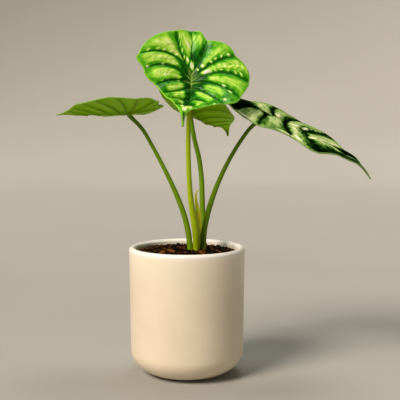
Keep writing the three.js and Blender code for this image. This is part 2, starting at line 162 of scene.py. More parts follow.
floor = into_object(turned(sweep_profile, SWEEP_SECTORS), "floor", board)


def sun(name, azimuth, elevation, strength, spread, colour):
    """A far studio light, turned in degrees from straight in front to the left and lifted from the
    floor, which spreads over so many degrees of the sky."""
    data = bpy.data.lights.new(name, "SUN")
    data.energy = strength
    data.angle = math.radians(spread)
    data.color = linear(colour)[:3]
    light = bpy.data.objects.new(name, data)
    turn, lift = math.radians(azimuth), math.radians(elevation)
    toward = Vector((-math.sin(turn) * math.cos(lift), -math.cos(turn) * math.cos(lift), math.sin(lift)))
    light.rotation_euler = toward.to_track_quat("Z", "Y").to_euler()
    bpy.context.scene.collection.objects.link(light)


sun("key_front_left", 46, 41, 3.6, 24, "#fff1e0")
sun("glint_front", 8, 22, 0.2, 2, "#ffffff")
sun("top_soft", -150, 74, 1.0, 24, "#fffcf4")
world = bpy.data.worlds.new("studio")
world.use_nodes = True
sky = world.node_tree.nodes["Background"]
sky.inputs["Color"].default_value = linear("#e9ecea")
sky.inputs["Strength"].default_value = 0.075
bpy.context.scene.world = world

# The pot: a cast stoneware planter with straight sides, a large rounded bottom corner and a rolled
# rim, covered in a warm white eggshell glaze. Its wall is about 7 mm.
POT_HEIGHT = 133
POT_TOP_RADIUS = 60
POT_SIDE_RADIUS = 58.7
POT_FOOT_RADIUS = 24.7
POT_CORNER_HEIGHT = 25
POT_WALL = 6.8
RIM_ROUND = 3.2
FLOOR_THICKNESS = 7
POT_SECTORS = 120
SIDE_STEPS = 10
RIM_STEPS = 16
INNER_CORNER_STEPS = 10
INNER_RADIUS = POT_TOP_RADIUS - POT_WALL
INNER_CORNER = INNER_RADIUS * 0.55
rim_middle = POT_TOP_RADIUS - POT_WALL / 2
pot_profile = [(0, 0), (POT_FOOT_RADIUS * 0.5, 0)]
pot_profile += arc_points(
    (POT_FOOT_RADIUS, POT_CORNER_HEIGHT),
    (POT_SIDE_RADIUS - POT_FOOT_RADIUS, POT_CORNER_HEIGHT), -90, 0, CORNER_STEPS,
)
for i in range(1, SIDE_STEPS):
    share = i / SIDE_STEPS
    pot_profile.append((
        POT_SIDE_RADIUS + (POT_TOP_RADIUS - POT_SIDE_RADIUS) * share,
        POT_CORNER_HEIGHT + (POT_HEIGHT - RIM_ROUND - POT_CORNER_HEIGHT) * share,
    ))
pot_profile += arc_points(
    (rim_middle, POT_HEIGHT - RIM_ROUND), (POT_WALL / 2, RIM_ROUND), 0, 180, RIM_STEPS,
)
pot_profile += arc_points(
    (INNER_CORNER, FLOOR_THICKNESS + POT_CORNER_HEIGHT),
    (INNER_RADIUS - INNER_CORNER, POT_CORNER_HEIGHT), 0, -90, INNER_CORNER_STEPS,
)
pot_profile.append((0, FLOOR_THICKNESS))
bm = turned(pot_profile, POT_SECTORS)
# Eggshell glaze on stoneware: a faint mottling of the warm white and a soft sheen that dulls a
# reflection to a blur. Toward the top it grows paler, and on the rim's top near white: painted light
# where the lamps catch the upper wall and the rim. Its specks are drawn coarser than the real ones,
# so that they show.
GLAZE_CLOUDS = 500 / 11
GLAZE_SPECKS = 10 / 9
# Painted rim light: the heights between which each band of painted light grows, its share at its
# strongest, and its colour.
PAINTED_RIM_LIGHT = [(92, POT_HEIGHT, 0.8, "#faf0dc"), (127, 131, 0.85, "#ffffff")]
glaze, tree, shader = blank_material("stoneware_eggshell_glaze")
place = node(tree, "ShaderNodeTexCoord").outputs["Object"]
cloud = node(
    tree, "ShaderNodeTexNoise", {"Vector": place, "Scale": scale_of(GLAZE_CLOUDS), "Detail": 5.0},
)
speck = node(tree, "ShaderNodeTexNoise", {"Vector": place, "Scale": scale_of(GLAZE_SPECKS), "Detail": 2.0})
tint = node(
    tree, "ShaderNodeValToRGB", {"Fac": cloud.outputs["Fac"]}, [(0.3, "#e8dac3"), (0.75, "#f1e3cc")],
)
height = node(tree, "ShaderNodeSeparateXYZ", {"Vector": place}).outputs["Z"]
colour = tint.outputs["Color"]
# Painted light: the upper wall grows paler and the rim's top near white, where the lamps catch them.
for low, high, most, lit_colour in PAINTED_RIM_LIGHT:
    rim_light = node(tree, "ShaderNodeMapRange", {"Value": height, 1: low * MM, 2: high * MM, 4: most})
    layer = {"Factor": rim_light.outputs["Result"], 6: colour, 7: linear(lit_colour)}
    colour = node(tree, "ShaderNodeMix", layer, data_type="RGBA").outputs[2]
tree.links.new(colour, shader.inputs["Base Color"])
shader.inputs["Roughness"].default_value = 0.42
shader.inputs["IOR"].default_value = 1.5
relief = node(
    tree, "ShaderNodeBump", {"Height": speck.outputs["Fac"], "Strength": 0.06, "Distance": 0.4 * MM},
)
tree.links.new(relief.outputs["Normal"], shader.inputs["Normal"])
pot = into_object(bm, "pot_glazed", glaze)
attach(pot, "root")
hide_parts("pot")

# The potting mix: damp peat with fine bark, filled to 6 mm under the rim and a little heaped in the
# middle, crumbly all over.
SOIL_LEVEL = 127
SOIL_MOUND = 2.6
SOIL_RELIEF = 1.3
FIT_GAP = 0.3
GRIT_PER_MM = 0.42
GRIT_SLICE = 3.7
GRIT_MIDDLE = 0.45
GRIT_HEIGHT = 1.3
SOIL_RINGS = 64
SOIL_SECTORS = 200
SOIL_CORNER_STEPS = 6


def soil_height(x, y):
    """Height in millimetres of the heaped, crumbly surface at a place."""
    r = math.hypot(x, y) / INNER_RADIUS
    crumb = math.sin(x * 0.61 + y * 0.23) * math.cos(y * 0.57 - x * 0.19) + 0.6 * math.sin(
        x * 1.17 - y * 0.71 + 1.3
    ) * math.sin(y * 1.31 + 0.4)
    return SOIL_LEVEL + SOIL_MOUND * (1 - r * r) + SOIL_RELIEF * crumb * (1 - 0.6 * r**6)


soil_profile = [(0, FLOOR_THICKNESS + FIT_GAP)]
soil_profile += arc_points(
    (INNER_CORNER - FIT_GAP, FLOOR_THICKNESS + FIT_GAP + POT_CORNER_HEIGHT),
    (INNER_RADIUS - INNER_CORNER, POT_CORNER_HEIGHT), -90, 0, SOIL_CORNER_STEPS,
)
soil_edge = INNER_RADIUS - FIT_GAP
soil_profile += [(soil_edge * i / SOIL_RINGS, SOIL_LEVEL) for i in range(SOIL_RINGS, -1, -1)]
bm = turned(soil_profile, SOIL_SECTORS)
for vert in bm.verts:
    x, y, z = vert.co / MM
    if z > SOIL_LEVEL - 1:
        grit = noise.turbulence(Vector((x, y, GRIT_SLICE)) * GRIT_PER_MM, 4, False) - GRIT_MIDDLE
        fade = 1 - 0.7 * (math.hypot(x, y) / INNER_RADIUS) ** 8
        vert.co.z = (soil_height(x, y) + GRIT_HEIGHT * grit * fade) * MM
bmesh.ops.recalc_face_normals(bm, faces=bm.faces)
# Damp peat: nearly black, browner on the crumbs that stand up and dry first, and quite matt.
PEAT_CRUMBS = 50 / 21
PEAT_PATCHES = 100 / 9
peat, tree, shader = blank_material("damp_peat_potting_mix")
place = node(tree, "ShaderNodeTexCoord").outputs["Object"]
crumb = node(
    tree, "ShaderNodeTexNoise",
    {"Vector": place, "Scale": scale_of(PEAT_CRUMBS), "Detail": 8.0, "Roughness": 0.7},
)
patch = node(
    tree, "ShaderNodeTexNoise", {"Vector": place, "Scale": scale_of(PEAT_PATCHES), "Detail": 3.0},
)
blend = node(
    tree, "ShaderNodeMath", {0: crumb.outputs["Fac"], 1: patch.outputs["Fac"]}, operation="MULTIPLY",
)
tint = node(
    tree, "ShaderNodeValToRGB", {"Fac": blend.outputs["Value"]},
    [(0.12, "#050200"), (0.3, "#100701"), (0.46, "#2e1a04")],
)
tree.links.new(tint.outputs["Color"], shader.inputs["Base Color"])
shader.inputs["Roughness"].default_value = 0.85
shader.inputs["Specular IOR Level"].default_value = 0.1
relief = node(
    tree, "ShaderNodeBump", {"Height": crumb.outputs["Fac"], "Strength": 0.9, "Distance": 1.2 * MM},
)
tree.links.new(relief.outputs["Normal"], shader.inputs["Normal"])
soil = into_object(bm, "potting_mix", peat)
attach(soil, "root")
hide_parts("soil")

# Bark chips and crumbs: splinters and lumps of pine bark that lie in the top of the mix, each sunk
# in by about a quarter of its thickness. They keep clear of the stems' clump.
CLUMP = (11, 2)
SPLINTERS = dict(count=150, sizes=[(3, 6.5), (1.6, 3.4), (0.8, 1.8)], clear=13)
CRUMBS = dict(count=520, sizes=[(0.9, 2.6), (0.9, 2.2), (0.7, 1.6)], clear=9)
RIM_CLEARANCE = 3
LIFT_SHARE = 0.25
LEAN = 0.35
RAGGEDNESS = 0.13
rand = random.Random(71)
bm = bmesh.new()
shade = bm.verts.layers.float.new("shade")


def scatter(build, count, sizes, clear):
    """Sets small lumps on the mix inside the rim, at least so far from the middle of the clump."""
    lying = 0
    while lying < count:
        turn = rand.random() * 2 * math.pi
        r = (INNER_RADIUS - RIM_CLEARANCE) * math.sqrt(rand.random())
        x, y = r * math.cos(turn), r * math.sin(turn)
        size = [rand.uniform(low, high) for low, high in sizes]
        if math.hypot(x - CLUMP[0], y - CLUMP[1]) < clear:
            continue
        lean = [rand.gauss(0, LEAN), rand.gauss(0, LEAN), rand.random() * math.pi]
        middle = Vector((x, y, soil_height(x, y) + LIFT_SHARE * size[2]))
        pose = Matrix.Translation(middle * MM)
        for axis, angle in zip("XYZ", lean):
            pose = pose @ Matrix.Rotation(angle, 4, axis)
        pose = pose @ Matrix.Diagonal([s * MM for s in size] + [1])
        lumps = build(pose)
        tone = rand.random()
        ragged = RAGGEDNESS * min(size) * MM
        for vert in lumps:
            vert.co += Vector([rand.uniform(-1, 1) * ragged for _ in range(3)])
            vert[shade] = tone
        lying += 1


def splinter(pose):
    """A chip split from the bark, still a box."""
    return bmesh.ops.create_cube(bm, size=1, matrix=pose)["verts"]


def crumb_of_bark(pose):
    """A rounded crumb."""
    return bmesh.ops.create_icosphere(bm, subdivisions=1, radius=0.6, matrix=pose)["verts"]


scatter(splinter, **SPLINTERS)
scatter(crumb_of_bark, **CRUMBS)
bmesh.ops.recalc_face_normals(bm, faces=bm.faces)
# Composted pine bark: dark brown to fox red, with a dull fibrous face.
BARK_FIBRES = 10 / 7
bark, tree, shader = blank_material("composted_pine_bark")
tone = node(tree, "ShaderNodeAttribute", attribute_name="shade").outputs["Fac"]
place = node(tree, "ShaderNodeTexCoord").outputs["Object"]
fibre = node(tree, "ShaderNodeTexNoise", {"Vector": place, "Scale": scale_of(BARK_FIBRES), "Detail": 4.0})
blend = node(
    tree, "ShaderNodeMath", {0: fibre.outputs["Fac"], 1: 0.35, 2: tone}, operation="MULTIPLY_ADD",
)
tint = node(
    tree, "ShaderNodeValToRGB", {"Fac": blend.outputs["Value"]},
    [(0.1, "#080300"), (0.6, "#160902"), (0.88, "#3a2008"), (1.0, "#7a4a14")],
)
tree.links.new(tint.outputs["Color"], shader.inputs["Base Color"])
shader.inputs["Roughness"].default_value = 0.8
shader.inputs["Specular IOR Level"].default_value = 0.15
relief = node(
    tree, "ShaderNodeBump", {"Height": fibre.outputs["Fac"], "Strength": 0.6, "Distance": 0.4 * MM},
)
tree.links.new(relief.outputs["Normal"], shader.inputs["Normal"])
chips = into_object(bm, "bark_chips", bark, rounded=False)
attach(chips, "root")

# The four leaf blades: leathery, quilted shields. Ribs run from where the stem joins to the margin,
# sunk on top and raised beneath, and the panels between them are puffed, with finer ribs along them
# and puckers where they dip to a rib. Each blade grew as one piece with a drip tip.
BLADE_THICKNESS = 0.9
RIB_HEIGHT = 1.1
MIDRIB_HEIGHT = 1.9
GROOVE_DEPTH = 0.35
PUFF_SHARE = 0.15
PUFF_MOST = 3.0
PUFF_CREST = 0.8
PUFF_AT_MARGIN = 0.15
UNDERSIDE_PUFF = 0.9
RIB_AT_MARGIN = 0.2
MIDRIB_AT_TIP = 0.2
COLUMN_EASE = 0.9
PANELS = 8
EVEN = [1] * 9
VEIN_SPINE = [-0.42, -0.04, -0.015, 0.015, 0.08, 0.2, 0.34, 0.49, 0.86]
VEIN_MARGIN = [0, 0.1, 0.5, 0.84, 1.1, 1.3, 1.5, 1.68, 2]
VEIN_BOW = [0, 0.02, 0.1, 0.16, 0.18, 0.17, 0.14, 0.1, 0]
VALLEYS = [0, 1, 0.9, 1, 1, 0.8, 0.5, 0.7, 0]
PANEL_VALUES = dict(
    arcs=0.12, puckers=0.25, crests=0.45, crests_out=0.45, crest_widths=0.33, crest_tones=0.84,
    hub_ends=0.16, dull_from=0.8, dull_tones=0.4,
)
COMMON = dict(
    spine=VEIN_SPINE, margins=(VEIN_MARGIN, VEIN_MARGIN), bows=(VEIN_BOW, VEIN_BOW), bow=1,
    reaches=(EVEN, EVEN), lobes=[0] * PANELS, acumen=0.74, valleys=(VALLEYS, VALLEYS),
    valley_width=(2.6, 1.3), strands=0.25, painted_highlights=[],
    **{key: ([value] * PANELS, [value] * PANELS) for key, value in PANEL_VALUES.items()},
)
# A flat blade is measured in its widths, from the stem's joint toward the tip and out to both sides. at
# is the joint's place in millimetres. In degrees, head, pitch and roll turn the blade, back, front and
# tip_bend curl it lengthwise, and fold and sag lift each half and let it droop. lobe, wide_y, tip, notch
# and acumen draw the outline. For each vein, spine is where it leaves the middle line, margins where on
# the outline it ends, bows how much it arches, and reaches how far it stretches. lobes swells the margin
# between two veins. puff is how high the panels stand, and wave and phase are the margin's ripple.
# Where a value differs between the halves, the first is the half on the left, seen from the stem
# toward the tip. The last rows of a leaf are its colouring and finer relief. They give how dark the
# valley of each vein is, partly the vein's own dark green and partly painted shade in the crease,
# where across each panel its light crest lies near the stem and at the margin, partly the panel's own
# pale green and partly painted light on the side of the puff that faces the lamp, how wide and how
# light the crest is, the shares out to the margin where the dark hub ends and the dull rim begins, how
# light that rim is, the valleys' half width at the stem and far out, and the millimetres of the ribs
# along the panels, the arcs across them and the puckers. The pale spots are painted highlights where
# the wax would glint, with no relief of their own: the vein number and share out to the margin of
# each, and how far it reaches in both.
LEAVES = {
    "front": dict(
        COMMON, at=(4.6, -45, 302.7), head=-94.4, pitch=64, roll=-4, width=100.6,
        back=12, front=-57, tip_bend=66, fold=(13, 35), sag=(36, 11.5),
        lobe=(0.02, -0.5), wide_y=0.078, tip=0.87, notch=-0.505,
        spine=[-0.505, -0.053, -0.006, 0.016, 0.045, 0.095, 0.25, 0.45, 0.87],
        margins=(
            [0, 0.185, 0.622, 0.932, 1.1, 1.3, 1.445, 1.7, 2],
            [0, 0.178, 0.748, 0.913, 1.172, 1.42, 1.56, 1.72, 2],
        ),
        bows=(
            [0, -0.159, 0.114, 0.27, 0.223, 0.12, 0.19, 0.15, 0],
            [0, -0.152, 0.516, 0.431, 0.413, 0.25, 0.21, 0.15, 0],
        ),
        reaches=(
            [1.06, 0.836, 0.997, 1.139, 0.985, 0.85, 0.84, 0.95, 0.7],
            [1.06, 1.032, 1.166, 0.972, 0.785, 0.83, 0.93, 0.9, 0.7],
        ),
        lobes=[0.01, 0.044, 0.065, 0, 0, 0, 0, 0], acumen=0.6, puff=1.25, wave=0.005, phase=0.4,
        valleys=([0, 0.85, 0.95, 1, 1, 0.7, 0.25, 0.1, 0], [0, 0.85, 0.95, 1, 1, 0.5, 0.2, 0.1, 0]),
        crests=(
            [0.3, 0.58, 0.55, 0.62, 0.42, 0.3, 0.15, 0.05],
            [0.52, 0.55, 0.6, 0.6, 0.64, 0.5, 0.8, 0.3],
        ),
        crests_out=(
            [0.6, 0.55, 0.5, 0.5, 0.5, 0.7, 0.85, 0.4],
            [0.6, 0.48, 0.5, 0.42, 0.7, 0.5, 0.4, 0.3],
        ),
        crest_widths=(
            [0.28, 0.33, 0.36, 0.33, 0.33, 0.4, 0.4, 0.3],
            [0.33, 0.42, 0.4, 0.36, 0.36, 0.5, 0.4, 0.3],
        ),
        crest_tones=(
            [0.74, 0.76, 0.86, 0.84, 0.84, 0.84, 0.84, 0.9],
            [0.98, 1, 0.98, 0.92, 0.96, 0.84, 0.84, 0.9],
        ),
        hub_ends=(
            [0.1, 0.32, 0.16, 0.3, 0.28, 0.14, 0.1, 0.1],
            [0.18, 0.32, 0.3, 0.25, 0.18, 0.2, 0.3, 0.3],
        ),
        dull_from=(
            [0.75, 0.8, 0.86, 0.82, 0.6, 0.58, 0.58, 0.7],
            [0.8, 0.82, 0.78, 0.75, 0.56, 0.5, 0.5, 0.6],
        ),
        dull_tones=(
            [0.45, 0.45, 0.42, 0.42, 0.26, 0.2, 0.3, 0.4],
            [0.45, 0.45, 0.42, 0.36, 0.22, 0.36, 0.4, 0.4],
        ),
        strands=0.2,
        arcs=([0.1, 0.2, 0.4, 0.1, 0.2, 0.2, 0.2, 0.1], [0.1, 0.22, 0.2, 0.2, 0.2, 0.2, 0.2, 0.1]),
        puckers=([0, 0.95, 0.8, 0.35, 0.3, 0, 0.3, 0.3], [0.9, 0.9, 0.3, 0.5, 0, 0, 0.3, 0.3]),
        # Pale spots painted where the wax would glint: painted highlights.
        painted_highlights=[
            (2.7, -0.28, 0.33, 0.095), (1.6, -0.33, 0.25, 0.04), (1.4, -0.2, 0.3, 0.02),
            (0.84, 0.06, 0.08, 0.06), (0.86, -0.06, 0.08, 0.06), (0.87, 0.24, 0.06, 0.07),
            (2.95, 0.63, 0.1, 0.03), (2.95, 0.93, 0.08, 0.03), (3.95, -0.62, 0.1, 0.04),
            (4.05, 0.29, 0.1, 0.02), (5.9, -0.93, 0.12, 0.04), (5.3, -0.62, 0.1, 0.02),
            (7.05, -0.24, 0.05, 0.12), (7.12, -0.45, 0.05, 0.12), (7.2, -0.66, 0.05, 0.12),
            (7.3, -0.86, 0.05, 0.12), (7.12, 0.4, 0.06, 0.1), (7.3, 0.62, 0.06, 0.12),
            (7.5, -0.5, 0.12, 0.3), (7.5, 0.55, 0.1, 0.25),
            (6.3, 0.55, 0.2, 0.02), (6.8, 0.45, 0.1, 0.03), (4.08, -0.77, 0.06, 0.05),
            (4.7, -0.86, 0.08, 0.04),
        ],
    ),
    "left": dict(
        COMMON, at=(-62, 15, 271.3), head=165.2, pitch=5.6, roll=1.4, width=90,
        back=15.6, front=-5.8, tip_bend=1, fold=(18, 0.7), sag=(-4.9, 8.6),
        lobe=(0.1, -0.434), wide_y=0.079, tip=0.872, notch=-0.39, bow=0.7,
        reaches=(
            [1, 0.97, 0.96, 1.01, 1.02, 0.99, 1.03, 1.02, 1],
            [0.6, 0.93, 0.95, 0.97, 1.02, 1.01, 1, 1, 1],
        ),
        puff=0.75, wave=0.008, phase=1.7,
    ),
    "right": dict(
        COMMON, at=(91, 0, 262.7), head=-9.6, pitch=26.8, roll=-4.3, width=126.5,
        back=-13.6, front=2.2, tip_bend=17, fold=(7.4, 19.7), sag=(3.7, 48.4),
        lobe=(0.1, -0.452), wide_y=0.051, tip=0.9, notch=-0.43,
        reaches=(
            [1, 1, 0.96, 0.94, 1, 1.07, 1.1, 1.15, 1],
            [1, 1, 1.02, 1, 0.88, 1.07, 1.07, 1.01, 1],
        ),
        puff=1.15, wave=0.01, phase=2.9,
        valleys=([0, 0.6, 0, 1, 1, 1, 0.2, 0.5, 0], [0, 1, 1, 0.7, 1, 0.8, 0.3, 0.5, 0]),
        crests=([0.75, 1, 0.26, 0.4, 0.4, 0.8, 0.15, 0.5], [0.75, 0.5, 0.7, 0.58, 0.4, 0.5, 0.4, 0.5]),
        crests_out=(
            [0.3, 1.1, 0.42, 0.5, 0.36, 0.8, 0.1, 0.5],
            [0.4, 0.3, 0.68, 0.52, 0.3, 0.5, 0.5, 0.5],
        ),
        crest_widths=(
            [0.3, 0.42, 0.5, 0.42, 0.33, 0.4, 0.36, 0.36],
            [0.3, 0.3, 0.55, 0.36, 0.36, 0.4, 0.4, 0.4],
        ),
        hub_ends=([0.1, 0.2, 0.08, 0.04, 0, 0, 0, 0], [0.1, 0.85, 0.52, 0.42, 0.1, 0.1, 0.05, 0]),
        dull_from=(
            [0.4, 0.55, 0.68, 0.66, 0.4, 0.85, 0.8, 0.4],
            [0.5, 0.9, 0.9, 0.74, 0.9, 0.68, 0.62, 0.4],
        ),
        dull_tones=(
            [0.1, 0.1, 0.55, 0.5, 0.6, 0.3, 0.4, 0.3],
            [0.1, 0.2, 0.6, 0.46, 0.6, 0.12, 0.12, 0.15],
        ),
        valley_width=(1.4, 2.6),
        arcs=([0.2] * PANELS, [0.2, 0.2, 0.2, 0.2, 0.45, 0.45, 0.45, 0.2]),
        puckers=([0, 0, 0, 0.3, 0.8, 0, 0, 0], [0, 0, 0, 0, 0.3, 0.3, 0.3, 0]),
        # Pale spots painted where the wax would glint: painted highlights.
        painted_highlights=[
            (3.35, -0.35, 0.2, 0.14), (4.45, -0.2, 0.3, 0.1), (4.85, -0.4, 0.1, 0.1),
            (5.86, -0.3, 0.08, 0.3), (5.92, -0.7, 0.06, 0.25), (4.3, 0.9, 0.2, 0.03),
            (3.9, 0.96, 0.3, 0.02), (2.5, 0.97, 0.4, 0.02), (5.2, 0.55, 0.2, 0.05),
        ],
    ),
    "back": dict(
        COMMON, at=(4.2, 41.5, 274.5), head=48.5, pitch=38.7, roll=-1, width=90.4,
        back=6.4, front=-30, tip_bend=60, fold=(18.8, 21.7), sag=(7.9, 25.8),
        lobe=(0.1, -0.45), wide_y=0.04, tip=0.806, notch=-0.42,
        reaches=([1, 1, 1, 1, 0.98, 0.96, 0.96, 0.97, 1], EVEN),
        puff=0.5, wave=0, phase=0,
    ),
}


def smooth(t):
    """Eased step from 0 to 1."""
    t = np.clip(t, 0, 1)
    return t * t * (3 - 2 * t)


def mix(a, b, t):
    """What lies the share t of the way from a to b."""
    return a + (b - a) * t


def between(tables, k, s, left):
    """A value read between vein k and the next, from the table of the half that it is on."""
    if not isinstance(tables, tuple):
        tables = (tables, tables)
    first, second = (np.asarray(table, float) for table in tables)
    return np.where(left, mix(first[k], first[k + 1], s), mix(second[k], second[k + 1], s))


def bezier(points, t):
    """A point of a cubic curve in the plane."""
    a, b, c, d = (np.asarray(p, float) for p in points)
    t = t[:, None]
    return (1 - t) ** 3 * a + 3 * (1 - t) ** 2 * t * b + 3 * (1 - t) * t * t * c + t**3 * d


HALF = 0.5
LOBE_ROUND = 0.62
SIDE_ROUND = (0.55, 0.62)
DRIP_TIP = (0.03, 0.01)


def margin_point(leaf, m):
    """The outline of one half blade: lobe to widest place at 1, then in to the drip tip at 2."""
    lobe, wide_y, tip = leaf["lobe"], leaf["wide_y"], leaf["tip"]
    base = bezier(
        [lobe, (mix(lobe[0], HALF, LOBE_ROUND), lobe[1]), (HALF, mix(wide_y, lobe[1], SIDE_ROUND[0])),
         (HALF, wide_y)],
        np.clip(m, 0, 1),
    )
    apex = bezier(
        [(HALF, wide_y), (HALF, mix(wide_y, tip, SIDE_ROUND[1])),
         (DRIP_TIP[0], mix(wide_y, tip, leaf["acumen"])), (DRIP_TIP[1], tip)],
        np.clip(m - 1, 0, 1),
    )
    return np.where((m <= 1)[:, None], base, apex)


def flat_point(leaf, u, j):
    """The flat place of vein number u at the share j from the spine to the margin, in widths."""
    k = np.minimum(PANELS - 1, np.floor(u)).astype(int)
    s = u - k
    left = j < 0
    y = between([leaf["notch"]] + leaf["spine"][1:-1] + [leaf["tip"]], k, s, left)
    bow = between(leaf["bows"], k, s, left) * leaf["bow"]
    lobe = np.asarray(leaf["lobes"], float)[k] * np.sin(math.pi * s)
    scale = between(leaf["reaches"], k, smooth(s), left) * (1 + lobe)
    edge = margin_point(leaf, between(leaf["margins"], k, s, left))
    dx = edge[:, 0] * scale
    dy = (edge[:, 1] - y) * scale
    a = np.abs(j)
    arch = bow * 2 * a * (1 - a)
    return np.stack([np.sign(j) * (dx * a + dy * arch), y + dy * a - dx * arch], 1)


BACK_REACH = 0.45
FRONT_REACH = 0.5
TIP_BEND_FROM = 0.62


def placed(leaf, flat, lift):
    """Bends, folds and turns flat places, lifted by millimetres, into the plant."""
    ys = np.linspace(-0.6, 1.1, 171)
    angle = np.radians(
        leaf["pitch"] + leaf["back"] * smooth(-ys / BACK_REACH)
        + leaf["front"] * smooth(ys / FRONT_REACH)
        + leaf["tip_bend"] * smooth((ys - TIP_BEND_FROM) / (leaf["tip"] - TIP_BEND_FROM))
    )
    middle = (angle[1:] + angle[:-1]) / 2
    step = ys[1] - ys[0]
    far = np.concatenate([[0], np.cumsum(np.cos(middle))]) * step
    high = np.concatenate([[0], -np.cumsum(np.sin(middle))]) * step
    x, y = flat[:, 0], flat[:, 1]
    along = np.interp(y, ys, far) - np.interp(0, ys, far)
    up = np.interp(y, ys, high) - np.interp(0, ys, high)
    row = np.interp(y, ys, angle)
    right = x >= 0
    fold = np.radians(np.where(right, leaf["fold"][1], leaf["fold"][0]))
    bend = np.radians(np.where(right, leaf["sag"][1], leaf["sag"][0])) / HALF
    slope = fold - bend * np.abs(x)
    rise = lift / leaf["width"]
    out = (np.sin(fold) - np.sin(slope)) / bend - rise * np.sin(slope)
    above = (np.cos(slope) - np.cos(fold)) / bend + rise * np.cos(slope)
    along = along + above * np.sin(row)
    up = up + above * np.cos(row)
    pitch, roll, head = (math.radians(leaf[key]) for key in ("pitch", "roll", "head"))
    yl = along * math.cos(pitch) - up * math.sin(pitch)
    zl = along * math.sin(pitch) + up * math.cos(pitch)
    side = np.where(right, 1, -1) * out
    xr = side * math.cos(roll) - zl * math.sin(roll)
    zr = side * math.sin(roll) + zl * math.cos(roll)
    y_axis = np.array([
        math.cos(head) * math.cos(pitch), math.sin(head) * math.cos(pitch), -math.sin(pitch),
    ])
    x_axis = np.array([math.sin(head), -math.cos(head), 0])
    z_axis = np.cross(x_axis, y_axis)
    spot = xr[:, None] * x_axis + yl[:, None] * y_axis + zr[:, None] * z_axis
    return (np.array(leaf["at"]) + spot * leaf["width"]) * MM


ARC_PITCH = 4.2
ARC_BOW = 1.6
PUCKER_PITCH = 6.2
PUCKER_FROM_RIB = 2.4
PUCKER_HALF_WIDTH = 1.4
RIB_HALF_WIDTH = 0.8
MIDRIB_HALF_WIDTH = 1.5
RIM_WIDTH = 1.5
RIBS_ALONG = 2
NO_RIB = 99
DULL_FADE = 0.22
HUB_FADE = 0.14
TONE_SPAN = 1.25


def of_half(tables, index, left):
    """A value by panel or vein number, from the table of the half that each place is on."""
    return np.where(left, *(np.asarray(table, float)[index] for table in tables))


def ridge(distance, half_width):
    """A soft ridge: 1 on its line, and fading out over its half width."""
    return np.exp(-((distance / half_width) ** 2))


def wander(x, y, seed):
    """A smooth uneven wave between about -1 and 1."""
    return (
        np.sin(1.7 * x + 0.9 * y + seed) + np.sin(2.9 * x - 1.3 * y + 2.1 * seed)
        + np.sin(0.7 * x - 3.1 * y - 1.3 * seed)
    ) / 2.2


def among_ribs(leaf, u, j):
    """Where each place lies among the ribs, in millimetres and shares, with its panel's values. u is the
    vein number and j the share out to the margin, under 0 on the left half."""
    k = np.minimum(PANELS - 1, np.floor(u)).astype(int)
    at = SimpleNamespace(k=k, s=u - k, out=np.abs(j), left=j < 0)
    near = flat_point(leaf, k.astype(float), j)
    far = flat_point(leaf, np.minimum(k + 1, PANELS) - 1e-9, j)
    root = flat_point(leaf, u, np.sign(j) * 1e-6)
    here = flat_point(leaf, u, j)
    margin = flat_point(leaf, u, np.sign(j) + (j == 0))
    width = leaf["width"]
    at.gap = np.hypot(*(near - far).T) * width
    at.run = np.hypot(*(here - root).T) * width
    at.to_margin = (1 - at.out) * np.hypot(*(margin - root).T) * width
    at.to_next = (1 - at.s) * at.gap
    at.to_rib = np.minimum(
        np.where(k == 0, NO_RIB, at.s * at.gap), np.where(k == PANELS - 1, NO_RIB, at.to_next),
    )
    at.off_spine = np.abs(here[:, 0]) * width
    at.on_spine = u >= 1
    at.rib = ridge(at.to_rib, RIB_HALF_WIDTH)
    at.chance = np.sin(12.9898 * (k + 1) + 4.1 * at.left + 7 * leaf["phase"])
    at.uneven = wander(5 * at.s, at.run / 4.5, 5 * at.chance)
    for key in PANEL_VALUES:
        setattr(at, key, of_half(leaf[key], k, at.left))
    at.inner = 1 - smooth((at.out - at.dull_from) / DULL_FADE)
    return at


def add_quilting(at):
    """Adds the fine patterns of the quilting: ribs along the panels, arcs across them, and puckers."""
    bend = 0.1 * at.chance + 0.05 * np.sin(at.run / 5 + 3 * at.chance)
    wide_enough = smooth((at.gap - 5) / 6)
    at.strand = np.cos(2 * math.pi * (RIBS_ALONG * (at.s + bend) + 0.5)) * wide_enough
    cell = (at.run - ARC_BOW * at.gap * at.s * (1 - at.s)) / ARC_PITCH + at.chance + 0.3 * at.uneven
    at.arc = np.cos(2 * math.pi * cell) * smooth((at.run - 12) / 12) * wide_enough
    row = ridge(at.to_next - PUCKER_FROM_RIB - 0.7 * at.uneven, PUCKER_HALF_WIDTH)
    beads = np.sin(math.pi * at.run / PUCKER_PITCH + 5 * at.chance + 0.5 * at.uneven) ** 4
    ends = smooth((at.run - 6) / 8) * smooth((at.gap - 6) / 4) * smooth((0.97 - at.out) / 0.1)
    at.pucker = at.puckers * row * beads * ends


